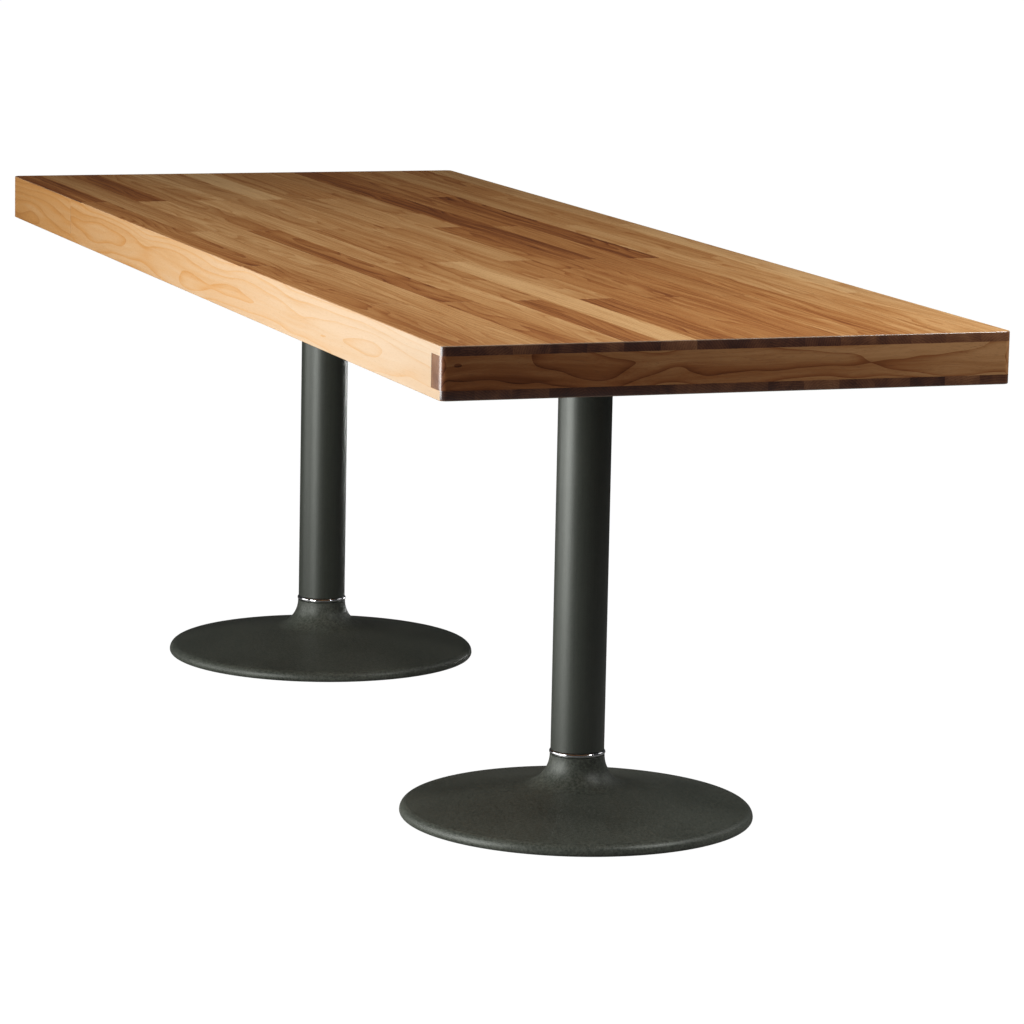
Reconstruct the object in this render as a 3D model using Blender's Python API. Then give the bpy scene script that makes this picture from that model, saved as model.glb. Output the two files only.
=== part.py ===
"""Butcher block table on two round pedestals.

The top is a sandwich: sixteen solid strips on the face, a core framed by side and end boards, and an
underside panel. Each pedestal is a hollow cast base, a polished ring, a tube column and a steel plate
under the top, all clamped together by one tie rod. Three levelling glides screw into each base.

Metres, +Z up. X runs along the top, Y across it. The origin is on the floor under the middle of the top.
"""

import math

import bmesh
import bpy
from mathutils import Matrix, Vector

GAP = 0.0003  # between pieces that touch
RUNNING_CLEARANCE = 0.0001  # on the radius, where a piece turns or slides in another

# Tabletop
TOP_LENGTH = 2.25
TOP_WIDTH = 0.79
TOP_HEIGHT = 0.75
FACE_THICKNESS = 0.013
CORE_THICKNESS = 0.044
UNDERSIDE_THICKNESS = 0.013
STRIP_COUNT = 16
EDGE_STRIP_WIDTH = 0.045  # the outermost strip on each side; the others share the rest
SIDE_BOARD_WIDTH = 0.038
END_BOARD_WIDTH = 0.038
SPLICE_FROM_END = 0.39  # where each side is spliced from a long and a short board
CORNER_RADIUS = 0.010
CORNER_STEPS = 4
ARRIS = 0.0015  # eased outer edge of the face and of the underside
ARRIS_STEPS = 2

# Pedestals
PEDESTAL_SPACING = 1.20  # between the two column axes
TURNED_STEPS = 48
FINE_STEPS = 16
COLUMN_RADIUS = 0.038
COLUMN_WALL = 0.003
RING_PROUD = 0.0018  # of the ring beyond the column
RING_HEIGHT = 0.0070
RING_STEPS = 4

# Base casting
BASE_RADIUS = 0.25
FLOOR_CLEARANCE = 0.0035
RIM_EDGE_RADIUS = 0.005  # of the lower edge, below the lip
LIP_RADIUS = 0.012
LIP_STEPS = 4
RIM_WIDTH = 0.014
BASE_WALL = 0.010
NECK_STEP = 0.0008  # of the casting's neck beyond the column
NECK_TOP = 0.0925
FLARE_RADIUS = 0.045
FLARE_STEPS = 7
SPIGOT_LENGTH = 0.030
NUT_BOSS_RADIUS = 0.022
NUT_BOSS_DEPTH = 0.0025

# Tie rod and its nut
ROD_RADIUS = 0.006
NUT_FLATS = 0.019
NUT_HEIGHT = 0.010
WASHER_RADIUS = 0.018
WASHER_THICKNESS = 0.0025
ROD_END = 0.003  # of rod showing below the nut

# Mounting plate and its screws
PLATE_SIZE = 0.36
PLATE_THICKNESS = 0.006
PLATE_CORNER_RADIUS = 0.020
PLATE_BOSS_RADIUS = 0.014
PLATE_BOSS_LENGTH = 0.014
SOCKET_WALL = 0.004
SCREW_INSET = 0.025
SCREW_RADIUS = 0.003
SCREW_LENGTH = 0.034
SCREW_HEAD_RADIUS = 0.0062
SCREW_HEAD_HEIGHT = 0.0035

# Levelling glides
GLIDE_COUNT = 3
GLIDE_INSET = 0.060  # from the base's rim to a glide's axis
GLIDE_FIRST_ANGLE = 30.0
PAD_RADIUS = 0.014
PAD_HEIGHT = 0.004
PAD_FLOOR = 0.0012
PAD_ARRIS = 0.0008
STEM_RADIUS = 0.004
STEM_FLATS = 0.013
STEM_COLLAR_HEIGHT = 0.0032
STEM_THREAD_LENGTH = 0.014
GLIDE_BOSS_RADIUS = 0.012
GLIDE_HOLE_SPARE = 0.001

# Levels and radii that follow from the sizes above
STRIP_PITCH = (TOP_WIDTH - 2 * EDGE_STRIP_WIDTH) / (STRIP_COUNT - 2)
FACE_BOTTOM = TOP_HEIGHT - FACE_THICKNESS
CORE_BOTTOM = FACE_BOTTOM - CORE_THICKNESS
TOP_BOTTOM = CORE_BOTTOM - UNDERSIDE_THICKNESS
PLATE_BOTTOM = TOP_BOTTOM - GAP - PLATE_THICKNESS
COLUMN_BORE = COLUMN_RADIUS - COLUMN_WALL
NECK_RADIUS = COLUMN_RADIUS + NECK_STEP
RING_RADIUS = COLUMN_RADIUS + RING_PROUD
GLIDE_CIRCLE_RADIUS = BASE_RADIUS - GLIDE_INSET
SPIGOT_RADIUS = COLUMN_BORE - GAP
ROD_HOLE_RADIUS = ROD_RADIUS + GAP
RING_BOTTOM = NECK_TOP + GAP
RING_TOP = RING_BOTTOM + RING_HEIGHT
COLUMN_BOTTOM = RING_TOP + GAP
COLUMN_TOP = PLATE_BOTTOM - GAP
COLLAR_BOTTOM = PAD_HEIGHT + GAP
COLLAR_TOP = COLLAR_BOTTOM + STEM_COLLAR_HEIGHT
GLIDE_BOSS_BOTTOM = COLLAR_TOP + GAP
STEM_TOP = COLLAR_TOP + STEM_THREAD_LENGTH


def clear_scene():
    for old in list(bpy.data.objects):
        bpy.data.objects.remove(old, do_unlink=True)


def make_material(name, colour, roughness, metallic=0.0):
    material = bpy.data.materials.new(name)
    material.use_nodes = True
    shader = material.node_tree.nodes["Principled BSDF"]
    shader.inputs["Base Color"].default_value = (*colour, 1.0)
    shader.inputs["Roughness"].default_value = roughness
    shader.inputs["Metallic"].default_value = metallic
    return material


def add_object(name, shape, material=None, parent=None, place=(0, 0, 0), round_piece=False):
    """Turns a bmesh into a named object."""
    mesh = bpy.data.meshes.new(name)
    bmesh.ops.recalc_face_normals(shape, faces=shape.faces)
    shape.to_mesh(mesh)
    shape.free()
    if material:
        mesh.materials.append(material)
    if round_piece:
        mesh.shade_smooth()
        mesh.set_sharp_from_angle(angle=math.radians(35))
    piece = bpy.data.objects.new(name, mesh)
    piece.location = place
    piece.parent = parent
    bpy.context.scene.collection.objects.link(piece)
    return piece


def box_shape(low, high):
    shape = bmesh.new()
    low, high = Vector(low), Vector(high)
    place = Matrix.Translation((low + high) / 2) @ Matrix.Diagonal((*(high - low), 1.0))
    bmesh.ops.create_cube(shape, size=1.0, matrix=place)
    return shape


def add_rod_shape(shape, radius, low, high, steps, x=0.0, y=0.0):
    """Adds a closed upright cylinder, or a prism when it has few steps, to a bmesh."""
    place = Matrix.Translation((x, y, (low + high) / 2))
    bmesh.ops.create_cone(
        shape, cap_ends=True, segments=steps, radius1=radius, radius2=radius, depth=high - low, matrix=place
    )


def turned_shape(outline, steps):
    """Spins a closed outline of (radius, height) points about Z."""
    shape = bmesh.new()
    points = [shape.verts.new((radius, 0.0, height)) for radius, height in outline]
    edges = [shape.edges.new((a, b)) for a, b in zip(points, points[1:] + points[:1])]
    bmesh.ops.spin(
        shape, geom=edges, axis=(0, 0, 1), cent=(0, 0, 0), steps=steps, angle=2 * math.pi, use_merge=True
    )
    return shape


def turned_solid(outline, steps):
    """Spins an open outline that starts and ends on the Z axis, so it has no bore."""
    shape = bmesh.new()
    points = [shape.verts.new((radius, 0.0, height)) for radius, height in outline]
    edges = [shape.edges.new((a, b)) for a, b in zip(points, points[1:])]
    bmesh.ops.spin(
        shape, geom=edges, axis=(0, 0, 1), cent=(0, 0, 0), steps=steps, angle=2 * math.pi, use_merge=True
    )
    bmesh.ops.remove_doubles(shape, verts=shape.verts, dist=1e-6)
    return shape


def arc(centre_radius, centre_height, radius, start, end, steps):
    """Points along an arc in the outline plane, with angles in radians."""
    angles = [start + (end - start) * step / steps for step in range(steps + 1)]
    return [(centre_radius + radius * math.cos(a), centre_height + radius * math.sin(a)) for a in angles]


def cut(piece, cutter):
    modify(piece, cutter, "DIFFERENCE")


def join(piece, other):
    modify(piece, other, "UNION")


def modify(piece, other, operation):
    """Adds a Boolean and hides the object that it uses."""
    modifier = piece.modifiers.new(other.name, "BOOLEAN")
    modifier.operation = operation
    modifier.object = other
    other.hide_render = True
    other.display_type = "WIRE"


# ---------------------------------------------------------------- tabletop


def on_outer_edge(point):
    """True for a point on the tabletop's outline, its round corners included."""
    past_x = abs(point.x) - TOP_LENGTH / 2
    past_y = abs(point.y) - TOP_WIDTH / 2
    in_corner = past_x > -CORNER_RADIUS and past_y > -CORNER_RADIUS
    return max(past_x, past_y) > -GAP / 2 or in_corner


def board_shape(low, high, eased_height=None):
    """A board whose upright edges are rounded where they are the tabletop's corners.

    Its outer edges at eased_height have a small arris.
    """
    shape = box_shape(low, high)
    corners = [
        edge
        for edge in shape.edges
        if abs(edge.verts[0].co.z - edge.verts[1].co.z) > GAP
        and abs(edge.verts[0].co.x) > TOP_LENGTH / 2 - GAP / 2
        and abs(edge.verts[0].co.y) > TOP_WIDTH / 2 - GAP / 2
    ]
    if corners:
        bmesh.ops.bevel(
            shape, geom=corners, offset=CORNER_RADIUS, segments=CORNER_STEPS, profile=0.5, affect="EDGES",
            material=-1,
        )
    if eased_height is not None:
        outer = [
            edge
            for edge in shape.edges
            if all(abs(vert.co.z - eased_height) < GAP / 2 for vert in edge.verts)
            and on_outer_edge((edge.verts[0].co + edge.verts[1].co) / 2)
        ]
        bmesh.ops.bevel(
            shape, geom=outer, offset=ARRIS, segments=ARRIS_STEPS, profile=0.5, affect="EDGES", material=-1
        )
    return shape


def strip_edges():
    """The Y of each joint between face strips, from one side of the top to the other."""
    inner = STRIP_COUNT - 2
    joints = [STRIP_PITCH * (step - inner / 2) for step in range(inner + 1)]
    return [-TOP_WIDTH / 2, *joints, TOP_WIDTH / 2]


def add_face_strips(material):
    edges = strip_edges()
    for number in range(STRIP_COUNT):
        low_gap = GAP / 2 if number else 0.0
        high_gap = GAP / 2 if number < STRIP_COUNT - 1 else 0.0
        low = (-TOP_LENGTH / 2, edges[number] + low_gap, FACE_BOTTOM + GAP)
        high = (TOP_LENGTH / 2, edges[number + 1] - high_gap, TOP_HEIGHT)
        add_object(f"face_strip_{number + 1:02d}", board_shape(low, high, TOP_HEIGHT), material)


def add_edge_boards(side_material, end_material):
    """The end boards, and each side's long and short board.

    The right end board runs through to both sides. The left one stops between the side boards, which run
    through to the left end.
    """
    half_length, half_width = TOP_LENGTH / 2, TOP_WIDTH / 2
    between = half_width - SIDE_BOARD_WIDTH - GAP
    for name, side, reach in (("left", -1, between), ("right", 1, half_width)):
        inner = side * (half_length - END_BOARD_WIDTH)
        outer = side * half_length
        low = (min(inner, outer), -reach, CORE_BOTTOM)
        high = (max(inner, outer), reach, FACE_BOTTOM)
        add_object(f"{name}_end_board", board_shape(low, high), end_material)

    reach = half_length - END_BOARD_WIDTH - GAP
    splice = half_length - SPLICE_FROM_END
    for name, side in (("front", -1), ("rear", 1)):
        inner = side * (half_width - SIDE_BOARD_WIDTH)
        outer = side * half_width
        for kind, start, end in (("short", -reach, -splice - GAP), ("long", -splice, reach)):
            # The rear boards are the front pair turned half round.
            start, end = sorted((-side * start, -side * end))
            if start == -reach:
                start = -half_length
            low = (start, min(inner, outer), CORE_BOTTOM)
            high = (end, max(inner, outer), FACE_BOTTOM)
            add_object(f"{name}_side_board_{kind}", board_shape(low, high), side_material)


def screw_places():
    """(x, y) of the plate screws about a column's axis."""
    reach = PLATE_SIZE / 2 - SCREW_INSET
    return [(sx * reach, sy * reach) for sx in (-1, 1) for sy in (-1, 1)]


def add_core_and_underside(core_material, underside_material):
    """The core and the underside panel, both drilled for the plate screws."""
    screw_tip = PLATE_BOTTOM + SCREW_LENGTH
    holes = bmesh.new()
    for side in (-1, 1):
        for x, y in screw_places():
            column_x = side * PEDESTAL_SPACING / 2
            add_rod_shape(
                holes, SCREW_RADIUS + GAP, TOP_BOTTOM - GAP, screw_tip + GAP, FINE_STEPS, column_x + x, y
            )
    drill = add_object("screw_hole_cutter", holes)

    inset_x, inset_y = END_BOARD_WIDTH + GAP, SIDE_BOARD_WIDTH + GAP
    low = (-TOP_LENGTH / 2 + inset_x, -TOP_WIDTH / 2 + inset_y, CORE_BOTTOM)
    high = (TOP_LENGTH / 2 - inset_x, TOP_WIDTH / 2 - inset_y, FACE_BOTTOM)
    cut(add_object("core_panel", box_shape(low, high), core_material), drill)

    low = (-TOP_LENGTH / 2, -TOP_WIDTH / 2, TOP_BOTTOM)
    high = (TOP_LENGTH / 2, TOP_WIDTH / 2, CORE_BOTTOM - GAP)
    panel = add_object("underside_panel", board_shape(low, high, TOP_BOTTOM), underside_material)
    cut(panel, drill)


# ---------------------------------------------------------------- pedestals


def top_slope():
    """The angle at which the base's top falls outwards, tangent to the flare and to the lip."""
    across = NECK_RADIUS + FLARE_RADIUS - (BASE_RADIUS - LIP_RADIUS)
    up = NECK_TOP - (FLOOR_CLEARANCE + RIM_EDGE_RADIUS)
    return math.atan2(across, up) + math.acos((FLARE_RADIUS + LIP_RADIUS) / math.hypot(across, up))


def base_top_height(radius):
    """Height of the base's sloping top at a radius between the flare and the lip."""
    slope = top_slope()
    lip_x = BASE_RADIUS - LIP_RADIUS + LIP_RADIUS * math.sin(slope)
    lip_z = FLOOR_CLEARANCE + RIM_EDGE_RADIUS + LIP_RADIUS * math.cos(slope)
    return lip_z + (lip_x - radius) * math.tan(slope)


def base_outline():
    """Half section of the casting: underside, rim, lip, sloping top, flare, neck and spigot."""
    slope = top_slope()
    flare_x = NECK_RADIUS + FLARE_RADIUS
    ceiling_x = flare_x - FLARE_RADIUS * math.sin(slope)
    ceiling_z = base_top_height(ceiling_x) - BASE_WALL
    rim_inner = BASE_RADIUS - RIM_WIDTH
    boss_bottom = ceiling_z - NUT_BOSS_DEPTH
    side_top = FLOOR_CLEARANCE + RIM_EDGE_RADIUS
    outline = [
        (ROD_HOLE_RADIUS, boss_bottom),
        (NUT_BOSS_RADIUS, boss_bottom),
        (NUT_BOSS_RADIUS, ceiling_z),
        (ceiling_x, ceiling_z),
        (rim_inner, base_top_height(rim_inner) - BASE_WALL),
        (rim_inner, FLOOR_CLEARANCE),
    ]
    outline += arc(BASE_RADIUS - RIM_EDGE_RADIUS, side_top, RIM_EDGE_RADIUS, -math.pi / 2, 0.0, LIP_STEPS // 2)
    outline += arc(BASE_RADIUS - LIP_RADIUS, side_top, LIP_RADIUS, 0.0, math.pi / 2 - slope, LIP_STEPS)[1:]
    outline += arc(flare_x, NECK_TOP, FLARE_RADIUS, 1.5 * math.pi - slope, math.pi, FLARE_STEPS)
    outline += [
        (SPIGOT_RADIUS, NECK_TOP),
        (SPIGOT_RADIUS, NECK_TOP + SPIGOT_LENGTH),
        (ROD_HOLE_RADIUS, NECK_TOP + SPIGOT_LENGTH),
    ]
    return outline, boss_bottom


def glide_places():
    """(x, y) of the glides about a column's axis."""
    angles = [math.radians(GLIDE_FIRST_ANGLE + 360.0 * step / GLIDE_COUNT) for step in range(GLIDE_COUNT)]
    return [(GLIDE_CIRCLE_RADIUS * math.cos(a), GLIDE_CIRCLE_RADIUS * math.sin(a)) for a in angles]


def add_base(side_name, parent, material):
    """The casting, with a boss and a threaded hole for each glide."""
    outline, _ = base_outline()
    base = add_object(
        f"{side_name}_base", turned_shape(outline, TURNED_STEPS), material, parent, round_piece=True
    )
    bosses = bmesh.new()
    holes = bmesh.new()
    in_casting = base_top_height(GLIDE_CIRCLE_RADIUS) - BASE_WALL / 2
    hole_top = STEM_TOP + GLIDE_HOLE_SPARE
    for x, y in glide_places():
        add_rod_shape(bosses, GLIDE_BOSS_RADIUS, GLIDE_BOSS_BOTTOM, in_casting, FINE_STEPS, x, y)
        add_rod_shape(
            holes, STEM_RADIUS + RUNNING_CLEARANCE, GLIDE_BOSS_BOTTOM - GAP, hole_top, FINE_STEPS, x, y
        )
    join(base, add_object(f"{side_name}_glide_boss_guide", bosses, parent=parent))
    cut(base, add_object(f"{side_name}_glide_hole_cutter", holes, parent=parent))


def add_column_and_ring(side_name, parent, column_material, ring_material):
    tube = [
        (COLUMN_BORE, COLUMN_BOTTOM),
        (COLUMN_RADIUS, COLUMN_BOTTOM),
        (COLUMN_RADIUS, COLUMN_TOP),
        (COLUMN_BORE, COLUMN_TOP),
    ]
    shape = turned_shape(tube, TURNED_STEPS)
    add_object(f"{side_name}_column", shape, column_material, parent, round_piece=True)

    bead = RING_HEIGHT / 2
    ring = [(SPIGOT_RADIUS + GAP, RING_TOP), (SPIGOT_RADIUS + GAP, RING_BOTTOM)]
    middle = RING_BOTTOM + bead
    ring += arc(RING_RADIUS - bead, middle, bead, -math.pi / 2, math.pi / 2, RING_STEPS)
    shape = turned_shape(ring, TURNED_STEPS)
    add_object(f"{side_name}_neck_ring", shape, ring_material, parent, round_piece=True)


def add_plate(side_name, parent, plate_material, screw_material):
    """The square plate with a socket that enters the column, and its four screws."""
    half = PLATE_SIZE / 2
    shape = box_shape((-half, -half, PLATE_BOTTOM), (half, half, PLATE_BOTTOM + PLATE_THICKNESS))
    uprights = [edge for edge in shape.edges if abs(edge.verts[0].co.z - edge.verts[1].co.z) > GAP]
    bmesh.ops.bevel(
        shape, geom=uprights, offset=PLATE_CORNER_RADIUS, segments=CORNER_STEPS, profile=0.5,
        affect="EDGES", material=-1,
    )
    plate = add_object(f"{side_name}_mounting_plate", shape, plate_material, parent)

    in_plate = PLATE_BOTTOM + PLATE_THICKNESS / 2
    socket_bottom = PLATE_BOTTOM - SPIGOT_LENGTH
    socket = [
        (SPIGOT_RADIUS - SOCKET_WALL, in_plate),
        (SPIGOT_RADIUS - SOCKET_WALL, socket_bottom),
        (SPIGOT_RADIUS, socket_bottom),
        (SPIGOT_RADIUS, in_plate),
    ]
    join(plate, add_object(f"{side_name}_socket_guide", turned_shape(socket, TURNED_STEPS), parent=parent))
    boss = bmesh.new()
    add_rod_shape(boss, PLATE_BOSS_RADIUS, PLATE_BOTTOM - PLATE_BOSS_LENGTH, in_plate, FINE_STEPS)
    join(plate, add_object(f"{side_name}_boss_guide", boss, parent=parent))

    past_plate = PLATE_BOTTOM + PLATE_THICKNESS + GAP
    holes = bmesh.new()
    add_rod_shape(
        holes, ROD_HOLE_RADIUS, PLATE_BOTTOM - PLATE_BOSS_LENGTH - GAP, past_plate, FINE_STEPS
    )
    for x, y in screw_places():
        add_rod_shape(holes, SCREW_RADIUS + GAP, PLATE_BOTTOM - GAP, past_plate, FINE_STEPS, x, y)
    cut(plate, add_object(f"{side_name}_plate_hole_cutter", holes, parent=parent))

    under_head = PLATE_BOTTOM - GAP
    tip = PLATE_BOTTOM + SCREW_LENGTH
    screw = [
        (0.0, under_head - SCREW_HEAD_HEIGHT),
        (SCREW_HEAD_RADIUS * 0.6, under_head - SCREW_HEAD_HEIGHT),
        (SCREW_HEAD_RADIUS, under_head - SCREW_HEAD_HEIGHT / 2),
        (SCREW_HEAD_RADIUS, under_head),
        (SCREW_RADIUS, under_head),
        (SCREW_RADIUS, tip - 2 * SCREW_RADIUS),
        (0.0, tip),
    ]
    for number, (x, y) in enumerate(screw_places(), 1):
        shape = turned_solid(screw, FINE_STEPS)
        name = f"{side_name}_plate_screw_{number}"
        add_object(name, shape, screw_material, parent, (x, y, 0.0), round_piece=True)


def add_tie_rod(side_name, parent, material):
    """The rod from the plate's boss to the nut and washer under the base."""
    _, boss_bottom = base_outline()
    washer_top = boss_bottom - GAP
    washer_bottom = washer_top - WASHER_THICKNESS
    nut_top = washer_bottom - GAP
    nut_bottom = nut_top - NUT_HEIGHT

    rod = bmesh.new()
    add_rod_shape(rod, ROD_RADIUS, nut_bottom - ROD_END, PLATE_BOTTOM + PLATE_THICKNESS - GAP, FINE_STEPS)
    add_object(f"{side_name}_tie_rod", rod, material, parent, round_piece=True)

    washer = [
        (ROD_HOLE_RADIUS, washer_bottom),
        (WASHER_RADIUS, washer_bottom),
        (WASHER_RADIUS, washer_top),
        (ROD_HOLE_RADIUS, washer_top),
    ]
    shape = turned_shape(washer, FINE_STEPS)
    add_object(f"{side_name}_rod_washer", shape, material, parent, round_piece=True)

    nut = bmesh.new()
    add_rod_shape(nut, NUT_FLATS / math.sqrt(3), nut_bottom, nut_top, 6)
    nut = add_object(f"{side_name}_rod_nut", nut, material, parent)
    bore = bmesh.new()
    add_rod_shape(bore, ROD_HOLE_RADIUS, nut_bottom - GAP, nut_top + GAP, FINE_STEPS)
    cut(nut, add_object(f"{side_name}_nut_bore_cutter", bore, parent=parent))


def add_glides(side_name, parent, pad_material, stem_material):
    """A plastic pad and a threaded steel stem at each place. Both turn and travel on the stem's axis."""
    socket_radius = STEM_RADIUS + RUNNING_CLEARANCE
    pad = [
        (0.0, 0.0),
        (PAD_RADIUS - PAD_ARRIS, 0.0),
        (PAD_RADIUS, PAD_ARRIS),
        (PAD_RADIUS, PAD_HEIGHT - PAD_ARRIS),
        (PAD_RADIUS - PAD_ARRIS, PAD_HEIGHT),
        (socket_radius, PAD_HEIGHT),
        (socket_radius, PAD_FLOOR),
        (0.0, PAD_FLOOR),
    ]
    for number, (x, y) in enumerate(glide_places(), 1):
        place = (x, y, 0.0)
        shape = turned_solid(pad, FINE_STEPS)
        add_object(f"{side_name}_glide_pad_{number}", shape, pad_material, parent, place, round_piece=True)

        stem = bmesh.new()
        add_rod_shape(stem, STEM_RADIUS, PAD_FLOOR + GAP, STEM_TOP, FINE_STEPS)
        name = f"{side_name}_glide_stem_{number}"
        stem = add_object(name, stem, stem_material, parent, place, round_piece=True)
        collar = bmesh.new()
        add_rod_shape(collar, STEM_FLATS / math.sqrt(3), COLLAR_BOTTOM, COLLAR_TOP, 6)
        collar_name = f"{side_name}_glide_collar_guide_{number}"
        join(stem, add_object(collar_name, collar, parent=parent, place=place))


def main():
    clear_scene()
    face_wood = make_material("face_wood", (0.33, 0.165, 0.065), 0.38)
    side_wood = make_material("side_wood", (0.62, 0.42, 0.22), 0.42)
    end_wood = make_material("end_wood", (0.18, 0.085, 0.04), 0.42)
    core_wood = make_material("core_wood", (0.50, 0.34, 0.19), 0.7)
    column_paint = make_material("column_paint", (0.075, 0.082, 0.068), 0.35)
    base_paint = make_material("base_paint", (0.062, 0.068, 0.056), 0.55)
    polished_metal = make_material("polished_metal", (0.85, 0.85, 0.86), 0.06, 1.0)
    plate_steel = make_material("plate_steel", (0.05, 0.05, 0.05), 0.5, 0.5)
    zinc_steel = make_material("zinc_steel", (0.62, 0.62, 0.60), 0.35, 1.0)
    pad_plastic = make_material("pad_plastic", (0.02, 0.02, 0.02), 0.6)

    add_face_strips(face_wood)
    add_edge_boards(side_wood, end_wood)
    add_core_and_underside(core_wood, face_wood)
    for side_name, side in (("left", -1), ("right", 1)):
        axis = bpy.data.objects.new(f"{side_name}_column_axis", None)
        axis.location = (side * PEDESTAL_SPACING / 2, 0.0, 0.0)
        bpy.context.scene.collection.objects.link(axis)
        add_base(side_name, axis, base_paint)
        add_column_and_ring(side_name, axis, column_paint, polished_metal)
        add_plate(side_name, axis, plate_steel, zinc_steel)
        add_tie_rod(side_name, axis, zinc_steel)
        add_glides(side_name, axis, pad_plastic, zinc_steel)


main()
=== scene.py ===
"""Butcher block table on two round pedestals: its looks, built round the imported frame."""

import math
import random

import bmesh
import bpy
from mathutils import Matrix, Vector


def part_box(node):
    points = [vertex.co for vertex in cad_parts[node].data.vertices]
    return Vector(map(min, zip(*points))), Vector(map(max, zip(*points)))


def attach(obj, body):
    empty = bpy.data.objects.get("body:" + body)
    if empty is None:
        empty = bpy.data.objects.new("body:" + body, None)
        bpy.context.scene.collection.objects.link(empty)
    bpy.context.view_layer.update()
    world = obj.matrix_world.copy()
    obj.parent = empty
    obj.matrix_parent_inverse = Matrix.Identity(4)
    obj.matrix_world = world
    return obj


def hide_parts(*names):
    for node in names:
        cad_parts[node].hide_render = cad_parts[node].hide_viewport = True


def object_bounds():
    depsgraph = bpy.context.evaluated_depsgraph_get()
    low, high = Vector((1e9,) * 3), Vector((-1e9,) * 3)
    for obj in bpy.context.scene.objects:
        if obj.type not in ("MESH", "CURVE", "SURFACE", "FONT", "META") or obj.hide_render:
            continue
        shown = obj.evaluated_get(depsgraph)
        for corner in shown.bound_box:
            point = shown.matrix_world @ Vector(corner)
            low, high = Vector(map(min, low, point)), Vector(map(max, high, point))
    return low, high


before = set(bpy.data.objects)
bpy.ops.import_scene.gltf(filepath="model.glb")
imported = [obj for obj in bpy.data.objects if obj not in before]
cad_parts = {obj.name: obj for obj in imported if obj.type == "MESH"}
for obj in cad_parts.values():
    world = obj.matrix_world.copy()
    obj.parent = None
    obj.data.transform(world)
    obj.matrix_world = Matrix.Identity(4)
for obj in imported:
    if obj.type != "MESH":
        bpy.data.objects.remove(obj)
cad_low, cad_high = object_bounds()

BODY = "table"
HALF_LENGTH = cad_high.x
HALF_WIDTH = cad_high.y
TOP = cad_high.z
FACE_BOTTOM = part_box("front_side_board_long")[1].z
CORE_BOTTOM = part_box("front_side_board_long")[0].z
TOP_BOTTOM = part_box("underside_panel")[0].z
AXIS_X = (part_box("right_column")[0].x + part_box("right_column")[1].x) / 2
SIDES = (("left", -AXIS_X), ("right", AXIS_X))

# Tabletop details
CORNER_RADIUS = 0.010
CORNER_STEPS = 8
ARRIS = 0.0015
ARRIS_STEPS = 3
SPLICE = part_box("front_side_board_long")[0].x
GLUE_LINE = 0.00018  # the tiny easing where two boards meet
STAVE_ENDS = ((-0.670, 0.240), (-0.215, 0.695))  # butt joints of every other strip, and of the rest
SIDE_REACH = 0.012  # a face that looks sideways and lies this near a long side shows side wood
CUT_SLOT = 1  # the material slot of cut ends on every board
SIDE_SLOT = 2  # the material slot of the long sides on a strip

# Pedestal details, as in the frame
TURNED_STEPS = 160
COLUMN_STEPS = 128
SMALL_STEPS = 32
RUNNING_CLEARANCE = 0.0001
GAP = 0.0003

# Places nearer than TINY are the same, and an edge that rises more than RISE is upright
TINY = 1e-5
RISE = 1e-4


# ---------------------------------------------------------------- camera, light and floor


def add_camera():
    """A long lens, low and off the near corner, tilted down a little and rolled a little."""
    place = Vector((6.4362, -2.2343, 1.4915))
    yaw = math.radians(159.9587)
    pitch = math.radians(9.5893)
    roll = math.radians(-1.1825)
    flat = math.cos(pitch)
    ahead = Vector((math.cos(yaw) * flat, math.sin(yaw) * flat, -math.sin(pitch)))
    level = ahead.cross(Vector((0, 0, 1))).normalized()
    down = ahead.cross(level)
    right = math.cos(roll) * level + math.sin(roll) * down
    low = -math.sin(roll) * level + math.cos(roll) * down
    turn = Matrix((right, -low, -ahead)).transposed().to_4x4()
    data = bpy.data.cameras.new("camera")
    data.sensor_width = 36.0
    data.lens = 159.37
    data.clip_start = 0.1
    data.clip_end = 100.0
    camera = bpy.data.objects.new("camera", data)
    camera.matrix_world = Matrix.Translation(place) @ turn
    bpy.context.scene.collection.objects.link(camera)
    bpy.context.scene.camera = camera


def add_softbox(name, place, target, width, height, power, spread=180.0):
    """A soft box at a place, turned to a target. Its spread is in degrees."""
    data = bpy.data.lights.new(name, "AREA")
    data.shape = "RECTANGLE"
    data.size = width
    data.size_y = height
    data.energy = power
    data.spread = math.radians(spread)
    lamp = bpy.data.objects.new(name, data)
    lamp.location = place
    lamp.rotation_euler = (Vector(target) - Vector(place)).to_track_quat("-Z", "Y").to_euler()
    lamp.visible_camera = False
    bpy.context.scene.collection.objects.link(lamp)


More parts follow.
